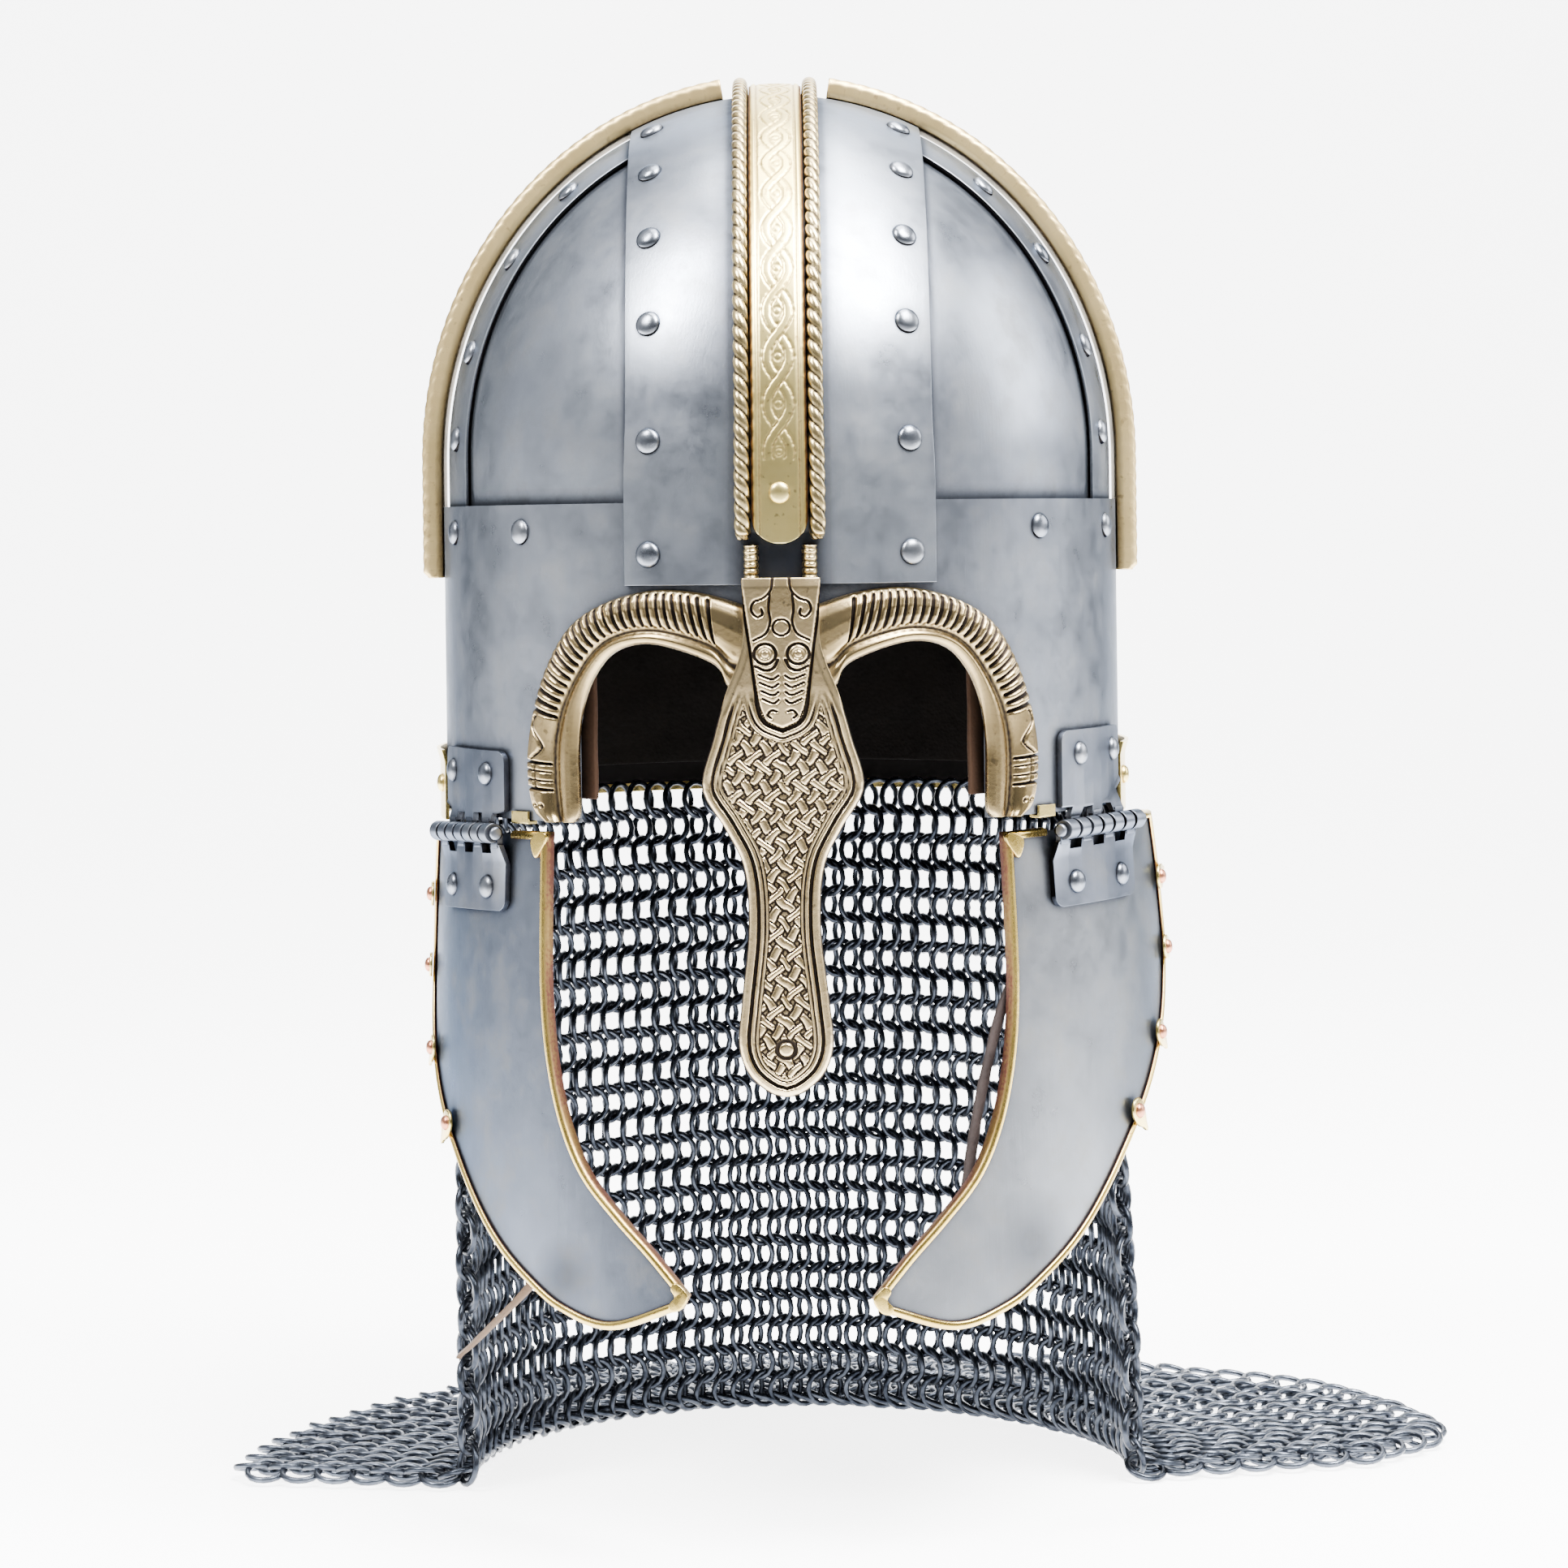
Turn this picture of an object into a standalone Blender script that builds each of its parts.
"""Early medieval crested helmet with a brass nasal, hinged cheek pieces and a mail curtain.

The origin is the middle of the head opening, in the plane of the brow band's lower rim.
The front looks along -Y, up is +Z, and left and right are as seen from the front (-X and +X).
The curtain's lower rows lie on the plane FLOOR, and the helmet is held above it.
"""

import math

import bmesh
import bpy
import numpy as np
from mathutils import Matrix, Vector

MM = 0.001
GAP = 0.3 * MM

# Brow band: an upright wall on an ellipse. u runs round it from the middle of the front.
HALF_WIDTH = 104.9 * MM
HALF_LENGTH = 118.4 * MM
BAND_TOP = 93.0 * MM
BAND_SHEET = 1.25 * MM
BAND_STATIONS = 60

# Dome: a quarter ellipse from the springing line up, over the same ellipse in plan.
SPRINGING = 107.0 * MM
DOME_RISE = 113.3 * MM

# Layers: distance of each outer face from the brow band's outer surface, and its sheet.
LONG_BAND_LOW = 1.65 * MM
LONG_BAND_HIGH = 0.2 * MM
LONG_BAND_SHEET = 1.3 * MM
LONG_BAND_STEP = (97.0 * MM, 122.0 * MM)
LONG_BAND_HALF = 44.5 * MM
LONG_BAND_FOOT = 69.0 * MM
LATERAL_OUT = -1.8 * MM
LATERAL_SHEET = 1.25 * MM
LATERAL_HALF = 45.0 * MM
INFILL_OUT = -3.65 * MM
INFILL_SHEET = 1.2 * MM
TUCK_Z = 80.0 * MM
TUCK_X = 37.5 * MM
TUCK_Y = 38.0 * MM

# Rivets: radius, height above the sheet, and how deep the foot is set in it.
RIVET_RADIUS = 3.8 * MM
RIVET_HEIGHT = 2.0 * MM
SMALL_RIVET_RADIUS = 2.9 * MM
SMALL_RIVET_HEIGHT = 1.7 * MM
RIVET_SET = 0.6 * MM
LONG_RIVET_X = 37.5 * MM
LATERAL_RIVET_Y = 34.0 * MM
BROW_RIVET_Z = 85.0 * MM

# Crest along the top: a flat strip between two ropes.
STRIP_HALF = 7.75 * MM
STRIP_SHEET = 3.2 * MM
STRIP_FOOT = 80.8 * MM
ROPE_X = 10.3 * MM
ROPE_WIDTH = 4.3 * MM
ROPE_HEIGHT = 5.8 * MM
ROPE_FOOT = 82.0 * MM

# Crests over the sides: two ropes with a flat channel between them, cast in one.
SIDE_CREST_BASE = 0.7 * MM
SIDE_CREST_FOOT = 71.0 * MM
SIDE_CREST_END_X = 16.0 * MM

# Mail holder, lining and rim bindings.
HOLDER_FROM = 146.0 * MM
LINING_FROM = 61.0 * MM
LINING_IN = -3.6 * MM
LINING_SHEET = 2.0 * MM
LINING_Z = (6.7 * MM, 57.0 * MM)
BINDING_U = (85.0 * MM, 93.0 * MM)

# Hinges: the axis is a straight line outside the rim. yaw turns its rear end outward.
HINGE_U = 118.5 * MM
HINGE_OUT = 3.3 * MM
HINGE_Z = -5.0 * MM
HINGE_HALF = 23.0 * MM
BARREL_RADIUS = 3.0 * MM
BARREL_HOLE = 1.3 * MM
PIN_RADIUS = 0.95 * MM
PIN_HEAD = 2.0 * MM
KNUCKLES = 7
KNUCKLE_GAP = 0.4 * MM
LEAF_SHEET = 1.8 * MM
LEAF_CLEAR = 3.4 * MM
TAB_SHY = 0.2 * MM
# side: sign of X, yaw, tilt and opening in degrees, top of the upper leaf, its rivets' height
HINGES = {
    "left": {"sign": -1, "yaw": 1.0, "tilt": -2.0, "open": 3.0, "top": 20.0 * MM, "rivet": 13.0 * MM},
    "right": {"sign": 1, "yaw": 9.0, "tilt": 1.0, "open": 3.0, "top": 24.0 * MM, "rivet": 17.0 * MM},
}

# Cheek plate: bent round an upright axis, more tightly in front of the hinge than behind it.
CHEEK_RADIUS_FRONT = 112.0 * MM
CHEEK_RADIUS_REAR = 150.0 * MM
CHEEK_SHEET = 1.5 * MM
EDGE_INSET = 1.1 * MM
EDGING_WALL = 0.8 * MM
EDGING_LEG = 2.5 * MM
EDGING_CLEAR = 0.45 * MM
EDGING_BREAK = 24.0
CHEEK_CUT = 12.5
# outer edge of the brass edging in millimetres: s back from the hinge's middle, z up from its axis
CHEEK_OUTLINE = [
    (-40.0, 1.0),
    (-40.5, -30.0),
    (-41.5, -48.0),
    (-44.5, -66.0),
    (-50.0, -83.0),
    (-58.0, -97.0),
    (-70.0, -109.0),
    (-81.0, -119.0),
    (-92.0, -130.5),
    (-90.0, -134.5),
    (-68.0, -142.0),
    (-50.0, -138.5),
    (-36.0, -131.5),
    (-18.0, -120.0),
    (7.0, -99.5),
    (34.0, -78.0),
    (51.0, -61.0),
    (60.0, -45.0),
    (61.0, -35.0),
    (56.0, -15.0),
    (50.0, 1.0),
]
# lugs on the rear edge, in millimetres: s and z of the edge there, and the edge's slope in degrees
LUGS = [
    (57.0, -19.0, 16.0),
    (60.3, -43.0, -8.0),
    (42.0, -70.0, -43.0),
    (17.0, -91.5, -50.0),
]

# Mail curtain: hanging wall, then rows that lie outward on the floor plane.
FLOOR = -213.4 * MM
MAIL_FOLD_FORWARD = 6.0 * MM
MAIL_FOLD_HALF_WIDTH = 105.0 * MM
MAIL_LYING_ROWS = 3
MAIL_TOP_REACH = 4.4 * MM
MAIL_HALF_LENGTH = 115.0 * MM
MAIL_SHEET = 4.0 * MM
MAIL_COLUMNS = 26
# height, how far the front edges stand forward of the helmet's middle, and half the width there
MAIL_ROWS = [
    (-3.4, 18.0, 100.4),
    (-30.0, 17.0, 100.8),
    (-110.0, 13.5, 102.0),
    (-196.0, 10.0, 102.0),
    (-208.0, 8.0, 102.5),
]
# hem of the lying part in millimetres, from the left front corner round the back: x, y
HEM = [
    (-180.0, 5.0),
    (-169.0, 54.0),
    (-142.0, 108.0),
    (-115.0, 139.0),
    (-78.0, 168.0),
    (-30.0, 187.0),
    (30.0, 190.0),
    (90.0, 179.0),
    (147.0, 158.0),
    (178.0, 136.0),
    (197.0, 108.0),
    (214.0, 48.0),
    (188.0, 13.0),
]

STEEL = ((0.56, 0.59, 0.63), 0.34, 1.0)
DARK_STEEL = ((0.42, 0.44, 0.47), 0.38, 1.0)
BRASS = ((0.72, 0.56, 0.30), 0.32, 1.0)
MAIL_IRON = ((0.24, 0.26, 0.28), 0.42, 1.0)
LEATHER = ((0.16, 0.10, 0.06), 0.65, 0.0)
LACE = ((0.45, 0.29, 0.17), 0.60, 0.0)


def clear_scene():
    for obj in list(bpy.data.objects):
        bpy.data.objects.remove(obj)


def collection(name):
    made = bpy.data.collections.new(name)
    bpy.context.scene.collection.children.link(made)
    return made


def principled(name, finish):
    colour, roughness, metallic = finish
    mat = bpy.data.materials.new(name)
    mat.use_nodes = True
    shader = mat.node_tree.nodes["Principled BSDF"]
    shader.inputs["Base Color"].default_value = (*colour, 1.0)
    shader.inputs["Roughness"].default_value = roughness
    shader.inputs["Metallic"].default_value = metallic
    return mat


def finish_object(name, bm, finish=None):
    """A named object from a bmesh: a piece with its material, or a helper shape without one."""
    mesh = bpy.data.meshes.new(name)
    bm.to_mesh(mesh)
    bm.free()
    mesh.shade_smooth()
    mesh.set_sharp_from_angle(angle=math.radians(35))
    obj = bpy.data.objects.new(name, mesh)
    if finish is None:
        HELPERS.objects.link(obj)
        obj.hide_render = True
        obj.display_type = "WIRE"
        return obj
    PARTS.objects.link(obj)
    mesh.materials.append(principled(name, finish))
    return obj


def solidify(obj, thickness, offset=-1.0):
    mod = obj.modifiers.new("sheet", "SOLIDIFY")
    mod.thickness = thickness
    mod.offset = offset
    return obj


def boolean(obj, operation, other):
    mod = obj.modifiers.new(other.name, "BOOLEAN")
    mod.operation = operation
    mod.solver = "EXACT"
    mod.object = other
    return obj


def face_away(bm, centre):
    """Turn an open surface's faces so that they look away from a point."""
    bm.normal_update()
    lean = sum(f.normal.dot(f.calc_center_median() - centre) * f.calc_area() for f in bm.faces)
    if lean < 0:
        bmesh.ops.reverse_faces(bm, faces=bm.faces)


def mapped_grid(columns, rows, place):
    """A flat grid whose vertex in column i and row j is moved to place(i, j)."""
    bm = bmesh.new()
    bmesh.ops.create_grid(bm, x_segments=columns, y_segments=rows, size=0.5)
    for v in bm.verts:
        i = round((v.co.x + 0.5) * columns)
        j = round((v.co.y + 0.5) * rows)
        v.co = place(i, j)
    return bm


def tube(sections):
    """A closed solid through closed sections that all have the same number of points."""
    count = len(sections[0])
    bm = mapped_grid(count, len(sections) - 1, lambda i, j: sections[j][i % count])
    bmesh.ops.remove_doubles(bm, verts=bm.verts, dist=1e-7)
    bmesh.ops.holes_fill(bm, edges=bm.edges, sides=0)
    bmesh.ops.recalc_face_normals(bm, faces=bm.faces)
    return bm


def pattern(outline, cuts, place):
    """A flat outline, cut across at each station so that it can bend there, and then laid in place."""
    bm = bmesh.new()
    bm.faces.new([bm.verts.new((a, b, 0.0)) for a, b in outline])
    for cut in cuts:
        everything = bm.verts[:] + bm.edges[:] + bm.faces[:]
        bmesh.ops.bisect_plane(bm, geom=everything, plane_co=(cut, 0, 0), plane_no=(1, 0, 0), dist=1e-6)
    bmesh.ops.triangulate(bm, faces=bm.faces)
    for v in bm.verts:
        v.co = place(v.co.x, v.co.y)
    return bm


def arc_table():
    t = np.linspace(-math.pi, math.pi, 7201)
    x = HALF_WIDTH * np.sin(t)
    y = -HALF_LENGTH * np.cos(t)
    run = np.concatenate([[0.0], np.cumsum(np.hypot(np.diff(x), np.diff(y)))])
    return t, run - run[3600]


ARC_ANGLE, ARC_RUN = arc_table()
GIRTH = float(ARC_RUN[-1] - ARC_RUN[0])
STATION = GIRTH / BAND_STATIONS


def between_bends(curve, pitch, a):
    """The point at a on the flat facet between two bending lines a pitch apart."""
    low = math.floor(a / pitch + 1e-9)
    share = a / pitch - low
    return curve(low * pitch).lerp(curve((low + 1) * pitch), share)


def wall_point(u, z, out=0.0):
    """A point on the faceted brow wall: u round it, z up, and out away from it."""
    return between_bends(lambda v: wall_curve(v, z, out), STATION, u)


def wall_curve(u, z, out=0.0):
    """The same point on the smooth wall."""
    turn = (u + GIRTH / 2) % GIRTH - GIRTH / 2
    t = float(np.interp(turn, ARC_RUN, ARC_ANGLE))
    normal = Vector((math.sin(t) / HALF_WIDTH, -math.cos(t) / HALF_LENGTH, 0.0)).normalized()
    return Vector((HALF_WIDTH * math.sin(t), -HALF_LENGTH * math.cos(t), z)) + normal * out


def stations(start, end):
    """Both ends and every station of the wall between them."""
    first = math.floor(start / STATION) + 1
    last = math.ceil(end / STATION) - 1
    inner = [k * STATION for k in range(first, last + 1)]
    inner = [u for u in inner if u - start > STATION / 4 and end - u > STATION / 4]
    return [start, *inner, end]


def arch_frame(axis, side, phi, drop=0.0):
    """Point and normal on the dome at a fixed distance from one of its middle planes.

    axis Y runs front to back at x = side, and axis X left to right at y = side. phi goes over the
    top in degrees, and drop is the distance below the springing line.
    """
    run, stay = (HALF_LENGTH, HALF_WIDTH) if axis == "Y" else (HALF_WIDTH, HALF_LENGTH)
    share = math.sqrt(1.0 - (side / stay) ** 2)
    along = -run * share * math.cos(math.radians(phi))
    rise = DOME_RISE * share * math.sin(math.radians(phi))
    lean = (along / run**2, side / stay**2, rise / DOME_RISE**2)
    if axis == "Y":
        point = Vector((side, along, SPRINGING + rise - drop))
        normal = Vector((lean[1], lean[0], lean[2])).normalized()
    else:
        point = Vector((along, side, SPRINGING + rise - drop))
        normal = Vector(lean).normalized()
    return point, normal


def arch_point(axis, side, phi, drop, out):
    point, normal = arch_frame(axis, side, phi, drop)
    return point + normal * out


def long_band_out(z):
    """The long band lies over the brow band low down and on the lateral bands higher up."""
    low, high = LONG_BAND_STEP
    share = min(max((z - low) / (high - low), 0.0), 1.0)
    return LONG_BAND_LOW + (LONG_BAND_HIGH - LONG_BAND_LOW) * share


def long_steps(foot, step=7.5):
    """Steps of a strip from the front over the top to the back: angle and drop below the springing."""
    wall = [foot, (foot + BAND_TOP) / 2 + 4 * MM, 97.0 * MM]
    front = [(0.0, SPRINGING - z) for z in wall]
    over = [(step * k, 0.0) for k in range(int(180 / step) + 1)]
    back = [(180.0, drop) for _, drop in reversed(front)]
    return front + over + back


def long_point(x, phi, drop, lift):
    """A point over the long band, lifted from its outer face."""
    point, normal = arch_frame("Y", x, phi, drop)
    return point + normal * (long_band_out(point.z) + lift)


def dome_mesh(radius, height):
    bm = bmesh.new()
    bmesh.ops.create_uvsphere(bm, u_segments=6, v_segments=4, radius=1.0)
    everything = bm.verts[:] + bm.edges[:] + bm.faces[:]
    bmesh.ops.bisect_plane(bm, geom=everything, plane_co=(0, 0, 0), plane_no=(0, 0, 1), clear_inner=True)
    bmesh.ops.holes_fill(bm, edges=bm.edges, sides=0)
    bmesh.ops.recalc_face_normals(bm, faces=bm.faces)
    bmesh.ops.scale(bm, vec=(radius, radius, height + RIVET_SET), verts=bm.verts)
    mesh = bpy.data.meshes.new("rivet dome")
    bm.to_mesh(mesh)
    bm.free()
    return mesh


def seat(point, normal, spin_to=Vector((0, 0, 1))):
    """A frame on a surface, with its Z along the normal."""
    side = spin_to.cross(normal).normalized()
    up = normal.cross(side)
    frame = Matrix((side, up, normal)).transposed().to_4x4()
    frame.translation = point - normal * RIVET_SET
    return frame


def rivets(name, spots, radius=RIVET_RADIUS, height=RIVET_HEIGHT):
    """One helper shape with a dome at each spot, which is a point and a normal."""
    dome = dome_mesh(radius, height)
    bm = bmesh.new()
    for point, normal in spots:
        before = len(bm.verts)
        bm.from_mesh(dome)
        bm.verts.ensure_lookup_table()
        bmesh.ops.transform(bm, matrix=seat(point, normal), verts=bm.verts[before:])
    bpy.data.meshes.remove(dome)
    return finish_object(name + " rivets", bm)


def wall_spot(u, z, out):
    foot = wall_point(u, z, out)
    return foot, (wall_point(u, z, out + 1.0) - foot).normalized()


def brow_outline():
    """Half of the band's pattern in metres, from the middle of the tongue's foot to the top."""
    half = [
        (5.5, -75.0),
        (10.5, -70.0),
        (12.0, -62.7),
        (9.2, -29.3),
        (10.3, -12.2),
        (21.0, 10.8),
        (14.0, 40.0),
        (17.0, 46.3),
        (24.5, 51.3),
        (38.5, 53.3),
        (53.0, 50.0),
        (61.3, 38.5),
        (64.3, 27.0),
        (64.3, 0.0),
    ]
    right = [(u * MM, z * MM) for u, z in half]
    end = GIRTH / 2 - 0.5 * MM
    right += [(end, 0.0), (end, BAND_TOP)]
    left = [(-u, z) for u, z in reversed(right)]
    return right + left


def make_brow_band():
    ends = GIRTH / 2 - 0.5 * MM
    cuts = stations(-ends, ends)[1:-1]
    bm = pattern(brow_outline(), cuts, wall_point)
    face_away(bm, Vector((0, 0, 0)))
    obj = solidify(finish_object("brow_band", bm, STEEL), BAND_SHEET)
    spots = []
    for u in (88.3, 136.0, 215.0, 263.0):
        for sign in (-1, 1):
            spots.append(wall_spot(sign * u * MM, BROW_RIVET_Z, 0.0))
    return boolean(obj, "UNION", rivets("brow_band", spots))


def make_long_band():
    steps = long_steps(LONG_BAND_FOOT)
    columns = 7

    def place(i, j):
        x = -LONG_BAND_HALF + 2 * LONG_BAND_HALF * i / columns
        return long_point(x, *steps[j], 0.0)

    bm = mapped_grid(columns, len(steps) - 1, place)
    face_away(bm, Vector((0, 0, SPRINGING / 2)))
    obj = solidify(finish_object("nose_to_nape_band", bm, STEEL), LONG_BAND_SHEET)
    # rows of rivets: angle over the top, drop below the springing line in millimetres
    rows = [(0.0, 29.0), (2.0, 0.0), (21.0, 0.0), (37.0, 0.0), (53.0, 0.0), (70.0, 0.0)]
    spots = []
    for phi, drop in rows:
        for x in (-LONG_RIVET_X, LONG_RIVET_X):
            for angle in (phi, 180.0 - phi):
                point, normal = arch_frame("Y", x, angle, drop * MM)
                spots.append((point + normal * long_band_out(point.z), normal))
    return boolean(obj, "UNION", rivets("nose_to_nape_band", spots))


def make_lateral_band(side, sign):
    columns = 6
    rows = 11

    def place(i, j):
        y = -LATERAL_HALF + 2 * LATERAL_HALF * i / columns
        if j == 0:
            phi, drop = 0.0, SPRINGING - TUCK_Z
        else:
            share = math.sqrt(1.0 - (y / HALF_LENGTH) ** 2)
            top = math.degrees(math.acos(TUCK_X / (HALF_WIDTH * share)))
            phi, drop = top * (j - 1) / (rows - 1), 0.0
        point = arch_point("X", y, phi, drop, LATERAL_OUT)
        return Vector((-sign * point.x, point.y, point.z))

    bm = mapped_grid(columns, rows, place)
    face_away(bm, Vector((0, 0, SPRINGING / 2)))
    obj = solidify(finish_object(side + "_lateral_band", bm, STEEL), LATERAL_SHEET)
    spots = []
    for phi in (3.5, 18.0, 35.0, 50.0):
        for y in (-LATERAL_RIVET_Y, LATERAL_RIVET_Y):
            point, normal = arch_frame("X", y, phi)
            mirror = Vector((-sign, 1, 1))
            spots.append(((point + normal * LATERAL_OUT) * mirror, normal * mirror))
    return boolean(obj, "UNION", rivets(side + "_lateral_band", spots))


def make_infill(name, sign_x, sign_y):
    columns = 5
    rows = 8
    tip = math.degrees(math.acos(math.hypot(TUCK_X / HALF_WIDTH, TUCK_Y / HALF_LENGTH))) - 1.2

    def place(i, j):
        phi = 0.0 if j == 0 else tip * (j - 1) / (rows - 1)
        drop = SPRINGING - TUCK_Z if j == 0 else 0.0
        share = math.cos(math.radians(phi))
        near = math.asin(TUCK_X / (HALF_WIDTH * share))
        far = math.acos(TUCK_Y / (HALF_LENGTH * share))
        t = near + (far - near) * i / columns
        x = HALF_WIDTH * share * math.sin(t)
        y = HALF_LENGTH * share * math.cos(t)
        rise = DOME_RISE * math.sin(math.radians(phi))
        normal = Vector((x / HALF_WIDTH**2, y / HALF_LENGTH**2, rise / DOME_RISE**2)).normalized()
        point = Vector((x, y, SPRINGING + rise - drop)) + normal * INFILL_OUT
        return Vector((sign_x * point.x, sign_y * point.y, point.z))

    bm = mapped_grid(columns, rows, place)
    face_away(bm, Vector((0, 0, SPRINGING / 2)))
    return solidify(finish_object(name, bm, STEEL), INFILL_SHEET)


def make_crest_strip():
    steps = long_steps(STRIP_FOOT)
    # the two ends are rounded: an extra narrow step beyond each
    widths = [0.45] + [1.0] * (len(steps) - 2) + [0.45]

    def place(i, j):
        x = STRIP_HALF * widths[j] * (i - 1)
        return long_point(x, *steps[j], GAP + STRIP_SHEET)

    bm = mapped_grid(2, len(steps) - 1, place)
    face_away(bm, Vector((0, 0, SPRINGING / 2)))
    return solidify(finish_object("crest_strip", bm, BRASS), STRIP_SHEET)


def make_rope(side, sign):
    """One cable moulding of the crest, standing on a narrow foot."""
    half = ROPE_WIDTH / 2
    # across the moulding: share of its half width, share of its height
    profile = [(-0.9, 0.0), (-1.0, 0.6), (-0.45, 1.0), (0.45, 1.0), (1.0, 0.6), (0.9, 0.0)]
    sections = []
    for phi, drop in long_steps(ROPE_FOOT):
        sections.append(
            [long_point(sign * ROPE_X + half * a, phi, drop, GAP + ROPE_HEIGHT * b) for a, b in profile]
        )
    return finish_object(side + "_crest_rope", tube(sections), BRASS)


def make_side_crest(side, sign):
    # across the crest in millimetres: distance from its middle, height over its base
    profile = [
        (-12.5, 0.0),
        (-12.5, 4.4),
        (-10.5, 6.0),
        (-8.0, 3.4),
        (8.0, 3.4),
        (10.5, 6.0),
        (12.5, 4.4),
        (12.5, 0.0),
        (6.0, 0.0),
        (-6.0, 0.0),
    ]
    top = math.degrees(math.acos(SIDE_CREST_END_X / HALF_WIDTH))
    foot = SPRINGING - SIDE_CREST_FOOT
    steps = [(0.0, foot, 0.7), (0.0, foot - 4 * MM, 1.0), (0.0, 12 * MM, 1.0)]
    steps += [(top * k / 13, 0.0, 1.0) for k in range(14)]
    sections = []
    for phi, drop, width in steps:
        ring = []
        for y, height in profile:
            point = arch_point("X", y * width * MM, phi, drop, SIDE_CREST_BASE + height * MM)
            ring.append(Vector((-sign * point.x, point.y, point.z)))
        sections.append(ring)
    return finish_object(side + "_lateral_crest", tube(sections), BRASS)


def nasal_body():
    # height, half width, distance of back and front from the brow band's surface, in millimetres
    rows = [
        (71.0, 10.5, 2.0, 7.0),
        (68.4, 11.4, 2.0, 8.0),
        (67.6, 11.6, 0.35, 8.0),
        (40.0, 15.5, 0.35, 7.5),
        (25.0, 19.0, 0.35, 6.6),
        (10.8, 22.35, 0.35, 6.0),
        (-1.0, 16.0, 0.35, 6.0),
        (-12.2, 11.0, 0.35, 6.0),
        (-29.3, 9.95, 0.35, 6.0),
        (-50.0, 12.0, 0.35, 6.0),
        (-62.7, 13.0, 0.35, 6.0),
        (-71.0, 10.5, 0.35, 5.6),
        (-76.0, 5.5, 0.35, 5.0),
        (-77.6, 2.5, 0.35, 4.4),
    ]
    sections = []
    for z, half, back, front in rows:
        edge = min(1.6, half / 2)
        across = [(0.0, back), (-half / 2, back), (-half, back), (-half, front - edge)]
        across += [(-half + edge, front), (0.0, front), (half - edge, front)]
        across += [(half, front - edge), (half, back), (half / 2, back)]
        sections.append([wall_point(u * MM, z * MM, out * MM) for u, out in across])
    return tube(sections)


def eyebrow(sign):
    # outer edge u and z, inner edge u and z, in millimetres
    rows = [
        (5.0, 60.0, 9.0, 38.0),
        (11.5, 63.6, 15.0, 39.8),
        (24.0, 67.0, 19.5, 46.5),
        (38.5, 67.6, 36.0, 52.0),
        (54.5, 63.7, 48.5, 50.5),
        (67.0, 56.0, 56.5, 43.5),
        (76.5, 42.0, 61.3, 33.5),
        (82.0, 25.5, 63.0, 22.5),
        (83.0, 14.0, 63.0, 12.0),
        (80.5, 4.5, 63.0, 3.0),
        (75.0, 0.2, 65.0, 0.2),
    ]
    # across the brow from its outer edge: share of the width, height in millimetres
    profile = [
        (0.0, 0.65),
        (0.04, 3.0),
        (0.3, 5.3),
        (0.62, 4.3),
        (0.72, 2.6),
        (0.86, 3.7),
        (1.0, 2.6),
        (1.0, 0.65),
        (0.5, 0.65),
    ]
    sections = []
    for outer_u, outer_z, inner_u, inner_z in rows:
        ring = []
        for share, out in profile:
            u = outer_u + (inner_u - outer_u) * share
            z = outer_z + (inner_z - outer_z) * share
            ring.append(wall_point(sign * u * MM, z * MM, out * MM))
        sections.append(ring)
    return tube(sections)


def make_nasal():
    obj = finish_object("nasal_and_eyebrows", nasal_body(), BRASS)
    for sign, side in ((-1, "left"), (1, "right")):
        boolean(obj, "UNION", finish_object(side + " eyebrow", eyebrow(sign)))
        bm = bmesh.new()
        bmesh.ops.create_cube(bm, size=1.0)
        bmesh.ops.scale(bm, vec=(4.3 * MM, 3.6 * MM, 13.0 * MM), verts=bm.verts)
        spot = wall_point(sign * 8.2 * MM, 73.8 * MM, 3.8 * MM)
        bmesh.ops.translate(bm, vec=spot, verts=bm.verts)
        boolean(obj, "UNION", finish_object(side + " prong", bm))
    return obj


def make_rim_binding(side, sign):
    low, high = BINDING_U
    # folded over the rim: distance out and height, in millimetres
    profile = [
        (1.2, 2.5),
        (1.2, -1.2),
        (-2.45, -1.2),
        (-2.45, 2.5),
        (-1.6, 2.5),
        (-1.6, -0.35),
        (0.35, -0.35),
        (0.35, 2.5),
    ]
    sections = [
        [wall_point(sign * u, z * MM, out * MM) for out, z in profile] for u in (low, high)
    ]
    return finish_object(side + "_front_binding", tube(sections), BRASS)


def make_holder():
    ends = (HOLDER_FROM, GIRTH - HOLDER_FROM)
    around = stations(*ends)
    # the sheet's outer face: height and distance out in millimetres, leaning out along the top
    rows = [(-3.0, 1.6), (14.5, 1.6), (18.5, 2.8)]

    def place(i, j):
        z, out = rows[j]
        return wall_point(around[i], z * MM, out * MM)

    bm = mapped_grid(len(around) - 1, len(rows) - 1, place)
    face_away(bm, Vector((0, 0, 0)))
    obj = solidify(finish_object("mail_holder_strip", bm, BRASS), 1.2 * MM)
    count = 8
    spots = []
    for k in range(count):
        u = ends[0] + 7 * MM + (ends[1] - ends[0] - 14 * MM) * k / (count - 1)
        spots.append(wall_spot(u, 8.0 * MM, 1.6 * MM))
    domes = rivets("mail_holder_strip", spots, SMALL_RIVET_RADIUS, SMALL_RIVET_HEIGHT)
    return boolean(obj, "UNION", domes)


def make_lining():
    around = stations(LINING_FROM, GIRTH - LINING_FROM)

    def place(i, j):
        return wall_point(around[i], LINING_Z[j], LINING_IN + LINING_SHEET)

    bm = mapped_grid(len(around) - 1, 1, place)
    face_away(bm, Vector((0, 0, 0)))
    return solidify(finish_object("leather_lining", bm, LEATHER), LINING_SHEET)


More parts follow.
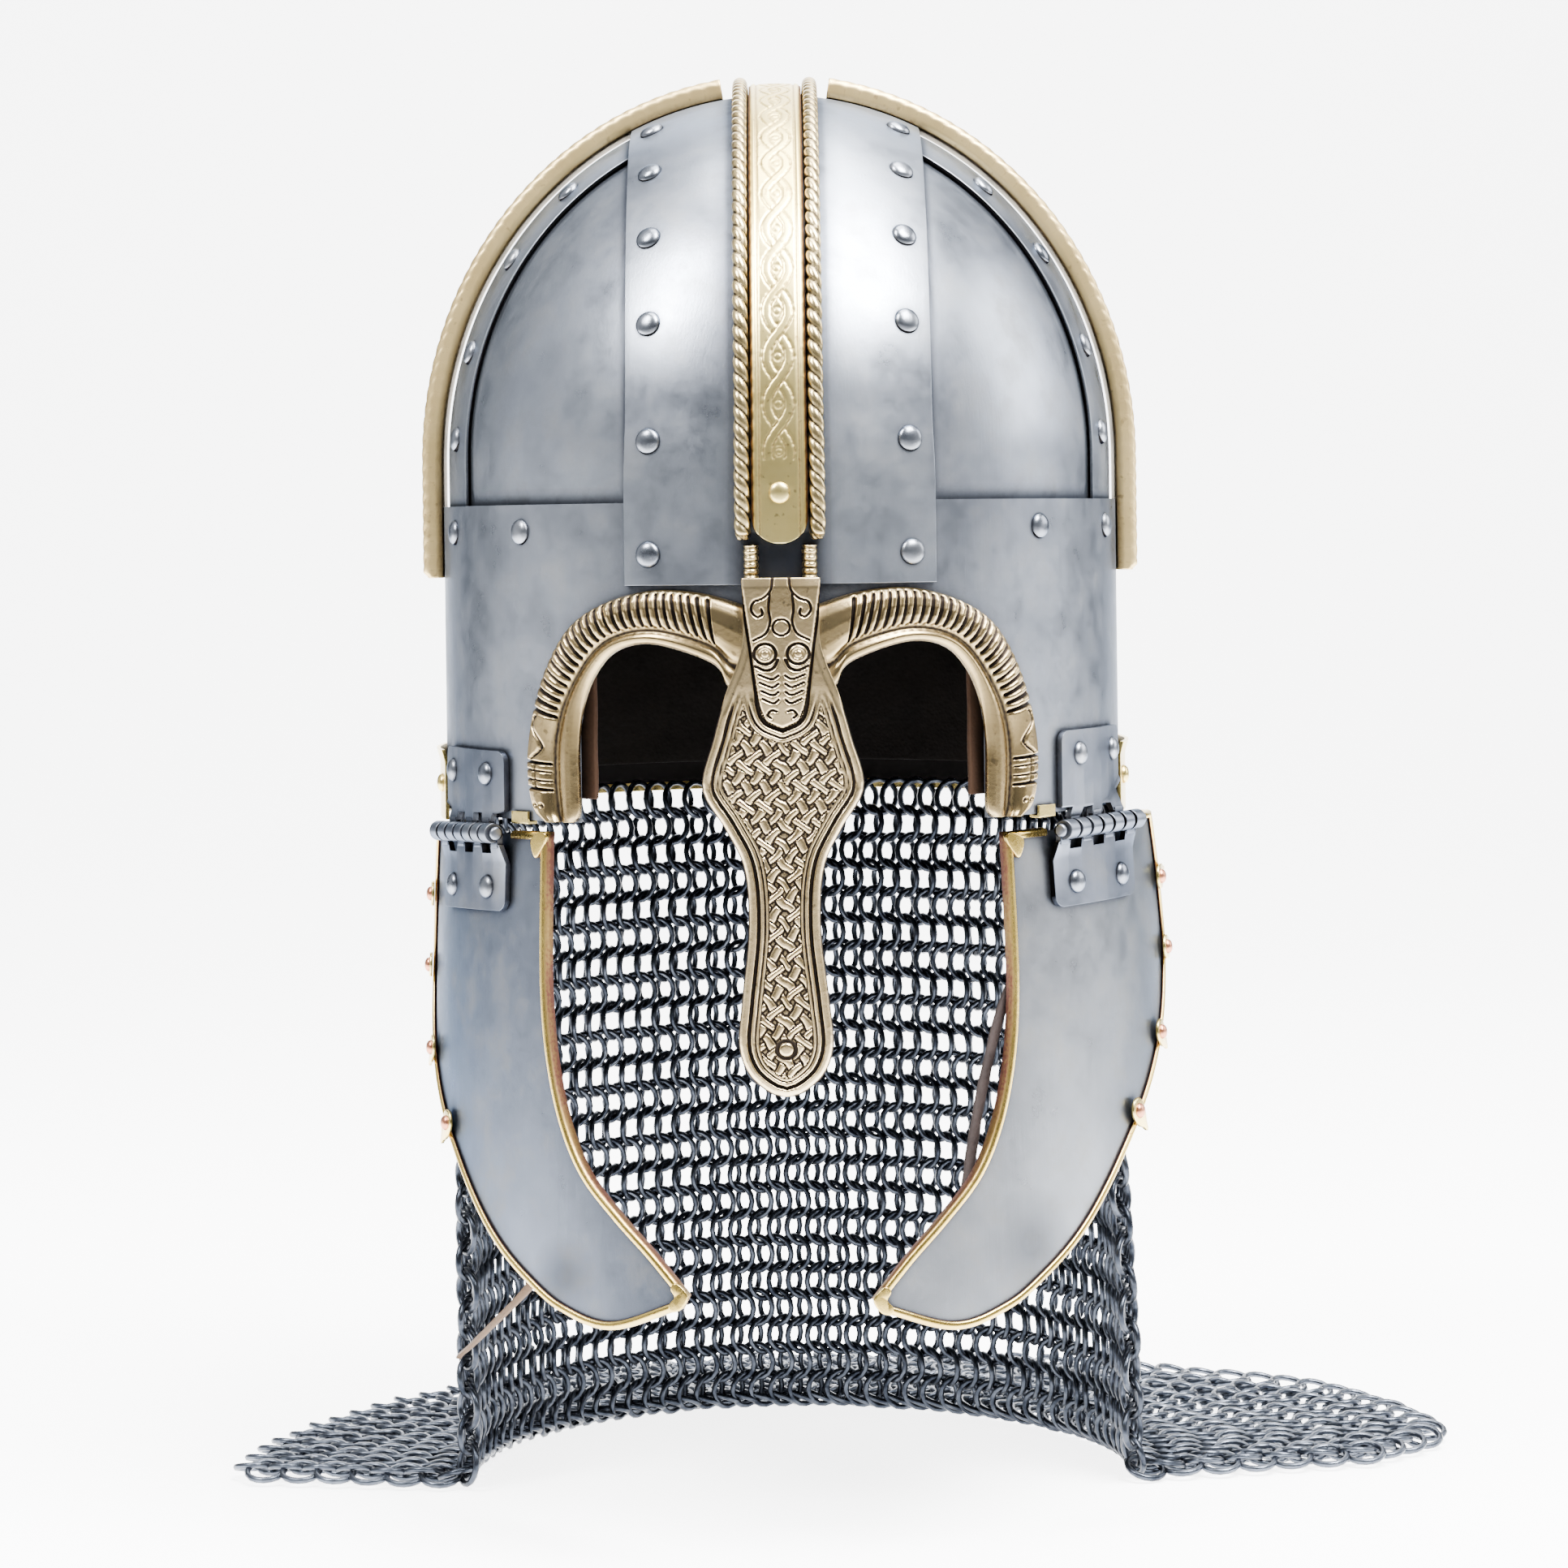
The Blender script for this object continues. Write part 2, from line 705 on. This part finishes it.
def hinge_frame(side):
    """The hinge's middle on its axis, the axis towards the rear, outward and up."""
    hinge = HINGES[side]
    point, normal = wall_spot(HINGE_U, 0.0, 0.0)
    tangent = Vector((-normal.y, normal.x, 0.0))
    yaw = math.radians(hinge["yaw"])
    tilt = math.radians(hinge["tilt"])
    back = tangent * math.cos(yaw) + normal * math.sin(yaw)
    out = normal * math.cos(yaw) - tangent * math.sin(yaw)
    axis = Vector((back.x * math.cos(tilt), back.y * math.cos(tilt), math.sin(tilt)))
    origin = point + out * HINGE_OUT
    origin.z = HINGE_Z
    up = out.cross(axis)
    if up.z < 0:
        up = -up
    mirror = Vector((hinge["sign"], 1, 1))
    return tuple(v * mirror for v in (origin, axis, out, up))


def cheek_point(side, s, z, out=0.0):
    """A point on the cheek plate's outer face: s back along it, z up from the hinge axis."""
    return between_bends(lambda v: cheek_curve(side, v, z, out), CHEEK_CUT * MM, s)


def cheek_curve(side, s, z, out=0.0):
    """The same point on the smoothly bent plate."""
    origin, axis, outward, up = hinge_frame(side)
    radius = CHEEK_RADIUS_REAR if s > 0 else CHEEK_RADIUS_FRONT
    along = (radius + out) * math.sin(s / radius)
    away = -HINGE_OUT - radius * (1 - math.cos(s / radius)) + out * math.cos(s / radius)
    swing = math.radians(HINGES[side]["open"])
    turned_away = away * math.cos(swing) - z * math.sin(swing)
    turned_up = away * math.sin(swing) + z * math.cos(swing)
    return origin + axis * along + outward * turned_away + up * turned_up


def axis_point(side, along, away, height, opened=False):
    """A point by its place along the hinge axis, outward from it and above it."""
    origin, axis, outward, up = hinge_frame(side)
    if opened:
        swing = math.radians(HINGES[side]["open"])
        turned = away * math.cos(swing) - height * math.sin(swing)
        height = away * math.sin(swing) + height * math.cos(swing)
        away = turned
    return origin + axis * along + outward * away + up * height


def axis_cylinder(name, side, middle, length, radius, segments, finish=None):
    bm = bmesh.new()
    bmesh.ops.create_cone(
        bm, cap_ends=True, segments=segments, radius1=radius, radius2=radius, depth=length
    )
    _, axis, outward, _ = hinge_frame(side)
    across = axis.cross(outward).normalized()
    frame = Matrix((across.cross(axis), across, axis)).transposed().to_4x4()
    frame.translation = axis_point(side, middle, 0.0, 0.0)
    bmesh.ops.transform(bm, matrix=frame, verts=bm.verts)
    return finish_object(name, bm, finish)


def add_knuckles(leaf, side, which, direction, opened):
    """Fuse every other barrel to a leaf, each with the tab that carries it, and bore them."""
    pitch = 2 * HINGE_HALF / KNUCKLES
    length = pitch - KNUCKLE_GAP
    for k in which:
        middle = -HINGE_HALF + pitch * (k + 0.5)
        name = f"{leaf.name} knuckle {k}"
        boolean(leaf, "UNION", axis_cylinder(name, side, middle, length, BARREL_RADIUS, 8))
        reach = LEAF_CLEAR + 1.2 * MM
        bm = bmesh.new()
        bmesh.ops.create_cube(bm, size=1.0)
        for v in bm.verts:
            away = -HINGE_OUT + GAP + LEAF_SHEET / 2 + (LEAF_SHEET - TAB_SHY) * v.co.y
            height = direction * reach * (v.co.z + 0.5)
            along = middle + (length - TAB_SHY) * v.co.x
            v.co = axis_point(side, along, away, height, opened)
        bmesh.ops.recalc_face_normals(bm, faces=bm.faces)
        boolean(leaf, "UNION", finish_object(name + " tab", bm))
    hole = axis_cylinder(leaf.name + " bore", side, 0.0, 3 * HINGE_HALF, BARREL_HOLE, 6)
    return boolean(leaf, "DIFFERENCE", hole)


def leaf_stations():
    """Places along a leaf, with one close to each end where its free corner is cut off."""
    corner = HINGE_HALF - 1.8 * MM
    return [-HINGE_HALF, -corner, -HINGE_HALF / 2, 0.0, HINGE_HALF / 2, corner, HINGE_HALF]


def make_upper_leaf(side):
    """A leaf that hugs the band and comes away from it to the straight line of the barrels."""
    hinge = HINGES[side]
    sign = hinge["sign"]
    face_out = -HINGE_OUT + GAP + LEAF_SHEET
    sections = []
    for s in leaf_stations():
        u = sign * (HINGE_U + s)
        low_out = axis_point(side, s, face_out, LEAF_CLEAR)
        low_in = axis_point(side, s, face_out - LEAF_SHEET, LEAF_CLEAR)
        stand = (low_out - wall_point(u, 0.0, GAP + LEAF_SHEET)).dot(hinge_frame(side)[2])
        bend = min(max(-0.3 * MM, 1.5 * stand), 9.0 * MM)
        top = hinge["top"] - (1.8 * MM if abs(s) == HINGE_HALF else 0.0)
        outer = [wall_point(u, z, GAP + LEAF_SHEET) for z in (bend, top)]
        inner = [wall_point(u, z, GAP) for z in (top, bend)]
        sections.append([low_out, *outer, *inner, low_in])
    leaf = finish_object(side + "_upper_hinge_leaf", tube(sections), DARK_STEEL)
    spots = [wall_spot(sign * u * MM, hinge["rivet"], GAP + LEAF_SHEET) for u in (106.0, 133.0)]
    domes = rivets(leaf.name, spots, SMALL_RIVET_RADIUS, SMALL_RIVET_HEIGHT)
    boolean(leaf, "UNION", domes)
    return add_knuckles(leaf, side, (1, 3, 5), 1, False)


def cheek_spot(side, s, z, out):
    foot = cheek_point(side, s, z, out)
    return foot, (cheek_point(side, s, z, out + 1.0) - foot).normalized()


def make_lower_leaf(side):
    """The cheek's leaf: straight along the barrels, then bent to the cheek plate's face."""
    face_out = -HINGE_OUT + GAP + LEAF_SHEET
    sections = []
    for s in leaf_stations():
        low_out = axis_point(side, s, face_out, -LEAF_CLEAR, True)
        low_in = axis_point(side, s, face_out - LEAF_SHEET, -LEAF_CLEAR, True)
        foot = -23.0 * MM + (1.8 * MM if abs(s) == HINGE_HALF else 0.0)
        outer = [cheek_point(side, s, z, GAP + LEAF_SHEET) for z in (-9.0 * MM, foot)]
        inner = [cheek_point(side, s, z, GAP) for z in (foot, -9.0 * MM)]
        sections.append([low_out, *outer, *inner, low_in])
    leaf = finish_object(side + "_lower_hinge_leaf", tube(sections), DARK_STEEL)
    spots = [cheek_spot(side, s * MM, -16.0 * MM, GAP + LEAF_SHEET) for s in (-13.0, 13.0)]
    domes = rivets(leaf.name, spots, SMALL_RIVET_RADIUS, SMALL_RIVET_HEIGHT)
    boolean(leaf, "UNION", domes)
    return add_knuckles(leaf, side, (0, 2, 4, 6), -1, True)


def make_pin(side):
    length = 2 * HINGE_HALF + 2.0 * MM
    pin = axis_cylinder(side + "_hinge_pin", side, 0.0, length, PIN_RADIUS, 6, DARK_STEEL)
    for end in (-1, 1):
        middle = end * (HINGE_HALF + 1.2 * MM)
        name = f"{side} pin head {'front' if end < 0 else 'rear'}"
        boolean(pin, "UNION", axis_cylinder(name, side, middle, 1.4 * MM, PIN_HEAD, 6))
    return pin


def cheek_edge():
    """The cheek's outline in metres, with a point wherever it crosses a bending line."""
    cuts = [CHEEK_CUT * k for k in range(-7, 5)]
    points = []
    count = len(CHEEK_OUTLINE)
    for k in range(count):
        (s0, z0), (s1, z1) = CHEEK_OUTLINE[k], CHEEK_OUTLINE[(k + 1) % count]
        points.append((s0, z0))
        crossed = [c for c in cuts if min(s0, s1) + 2.0 < c < max(s0, s1) - 2.0]
        for cut in sorted(crossed, reverse=s1 < s0):
            points.append((cut, z0 + (z1 - z0) * (cut - s0) / (s1 - s0)))
    return points


def inset_points(points, distance):
    """Move each corner of a closed outline inward so that every side moves by the same distance."""
    moved = []
    count = len(points)
    for k in range(count):
        here = Vector(points[k])
        before = (here - Vector(points[k - 1])).normalized()
        after = (Vector(points[(k + 1) % count]) - here).normalized()
        inward = Vector((-before.y, before.x)) + Vector((-after.y, after.x))
        inward.normalize()
        reach = distance / max(inward.dot(Vector((-before.y, before.x))), 0.5)
        moved.append(here + inward * reach)
    return moved


def make_cheek_plate(side):
    edge = inset_points(cheek_edge(), EDGE_INSET / MM)
    outline = [(p.x * MM, p.y * MM) for p in edge]
    cuts = [CHEEK_CUT * MM * k for k in range(-7, 5)]
    bm = pattern(outline, cuts, lambda s, z: cheek_point(side, s, z))
    face_away(bm, Vector((0, 0, -60 * MM)))
    return solidify(finish_object(side + "_cheek_plate", bm, STEEL), CHEEK_SHEET)


def make_cheek_edging(side):
    outer = cheek_edge()
    rings = {w: inset_points(outer, w / MM) for w in (0.0, EDGING_WALL, EDGING_LEG)}
    front = EDGING_CLEAR + EDGING_WALL
    back = -CHEEK_SHEET - EDGING_CLEAR
    profile = [
        (0.0, front),
        (EDGING_LEG, front),
        (EDGING_LEG, EDGING_CLEAR),
        (EDGING_WALL, EDGING_CLEAR),
        (EDGING_WALL, back),
        (EDGING_LEG, back),
        (EDGING_LEG, back - EDGING_WALL),
        (0.0, back - EDGING_WALL),
    ]
    count = len(outer)
    behind = [k for k in range(count) if outer[k][1] > 0.9 and abs(outer[k][0]) < EDGING_BREAK]
    path = [k % count for k in range(behind[-1] + 1, behind[0] + count)]
    sections = [edging_section(side, [rings[w][k] for w, _ in profile], profile) for k in path]
    for s, place in ((-EDGING_BREAK, 0), (EDGING_BREAK, len(sections) + 1)):
        flat = [Vector((s, 1.0 - w / MM)) for w, _ in profile]
        sections.insert(place, edging_section(side, flat, profile))
    return finish_object(side + "_cheek_binding", tube(sections), BRASS)


def edging_section(side, spots, profile):
    return [
        cheek_point(side, spot.x * MM, spot.y * MM, out) for spot, (_, out) in zip(spots, profile)
    ]


def make_lug(side, number):
    s, z, slope = LUGS[number - 1]
    # flat outline in millimetres: across the edge (out past it is positive), along the edge
    outline = [
        (4.5, 0.0),
        (-1.0, 3.2),
        (-5.0, 3.8),
        (-8.2, 1.4),
        (-8.2, -1.4),
        (-5.0, -3.8),
        (-1.0, -3.2),
    ]
    turn = math.radians(slope)
    base = EDGING_CLEAR + EDGING_WALL + GAP
    rings = []
    for lift in (0.0, 0.9 * MM):
        ring = []
        for a, b in outline:
            ds = a * math.cos(turn) - b * math.sin(turn)
            dz = a * math.sin(turn) + b * math.cos(turn)
            ring.append(cheek_point(side, (s + ds) * MM, (z + dz) * MM, base + lift))
        rings.append(ring)
    obj = finish_object(f"{side}_cheek_lug_{number}", tube(rings), BRASS)
    across = -4.3
    spot = cheek_spot(
        side,
        (s + across * math.cos(turn)) * MM,
        (z + across * math.sin(turn)) * MM,
        base + 0.9 * MM,
    )
    return boolean(obj, "UNION", rivets(obj.name, [spot], 2.0 * MM, 1.2 * MM))


def make_tie(side):
    # middle line of the lace in millimetres: s, z, and distance in from the plate's outer face
    paths = {
        "left": [
            (-44, -112, -2.2),
            (-38, -122, -2.4),
            (-31, -133, -3.4),
            (-8, -146, -5.6),
            (18, -156, -7.4),
            (45, -163, -8.2),
        ],
        "right": [
            (-33, -36, -2.2),
            (-41, -50, -4.0),
            (-48, -72, -7.0),
            (-54, -92, -7.5),
            (-61, -112, -4.5),
            (-66, -122, -2.4),
        ],
    }
    path = paths[side]
    half = 1.9

    def place(i, j):
        s, z, out = path[j]
        return cheek_point(side, (s + half * (2 * i - 1)) * MM, z * MM, out * MM)

    bm = mapped_grid(1, len(path) - 1, place)
    face_away(bm, Vector((0, 0, -60 * MM)))
    return solidify(finish_object(side + "_chin_tie", bm, LACE), 1.5 * MM)


def fold_point(share, forward, half_width, half_length):
    """A point on the curtain's plan: an ellipse from the left front edge round the back."""
    start = math.asin(min(forward / half_length, 1.0))
    turn = -start + (math.pi + 2 * start) * share
    return Vector((-half_width * math.cos(turn), half_length * math.sin(turn), 0.0))


def hem_point(share):
    runs = [0.0]
    for (x0, y0), (x1, y1) in zip(HEM, HEM[1:]):
        runs.append(runs[-1] + math.hypot(x1 - x0, y1 - y0))
    at = share * runs[-1]
    x = float(np.interp(at, runs, [p[0] for p in HEM]))
    y = float(np.interp(at, runs, [p[1] for p in HEM]))
    return Vector((x * MM, y * MM, 0.0))


def curtain_point(i, j):
    share = i / MAIL_COLUMNS
    hanging = len(MAIL_ROWS)
    if j < hanging:
        z, forward, half = MAIL_ROWS[j]
        point = fold_point(share, forward * MM, half * MM, MAIL_HALF_LENGTH)
        if j == 0:
            # the top row comes out under the holder, except beside the cheek pieces
            from_edge = min(share, 1 - share) * 9 - 0.8
            point += point.normalized() * MAIL_TOP_REACH * min(1.0, max(0.0, from_edge))
        point.z = z * MM
        return point
    fold = fold_point(share, MAIL_FOLD_FORWARD, MAIL_FOLD_HALF_WIDTH, MAIL_HALF_LENGTH + 1 * MM)
    step = (j - hanging) / (MAIL_LYING_ROWS - 1)
    point = fold.lerp(hem_point(share), step)
    point.z = FLOOR + MAIL_SHEET / 2
    return point


def make_mail():
    bm = mapped_grid(MAIL_COLUMNS, len(MAIL_ROWS) + MAIL_LYING_ROWS - 1, curtain_point)
    return solidify(finish_object("mail_curtain", bm, MAIL_IRON), MAIL_SHEET, 0.0)


def make_cap():
    make_brow_band()
    make_long_band()
    for side, sign in (("left", -1), ("right", 1)):
        make_lateral_band(side, sign)
        make_infill("front_" + side + "_infill_plate", sign, -1)
        make_infill("back_" + side + "_infill_plate", sign, 1)
        make_rope(side, sign)
        make_side_crest(side, sign)
        make_rim_binding(side, sign)
    make_crest_strip()
    make_nasal()
    make_holder()
    make_lining()


def make_cheek(side):
    make_upper_leaf(side)
    make_pin(side)
    make_lower_leaf(side)
    make_cheek_plate(side)
    make_cheek_edging(side)
    for number in range(1, len(LUGS) + 1):
        make_lug(side, number)
    make_tie(side)


clear_scene()
PARTS = collection("early medieval helmet")
HELPERS = collection("helper shapes")
make_cap()
make_mail()
make_cheek("left")
make_cheek("right")
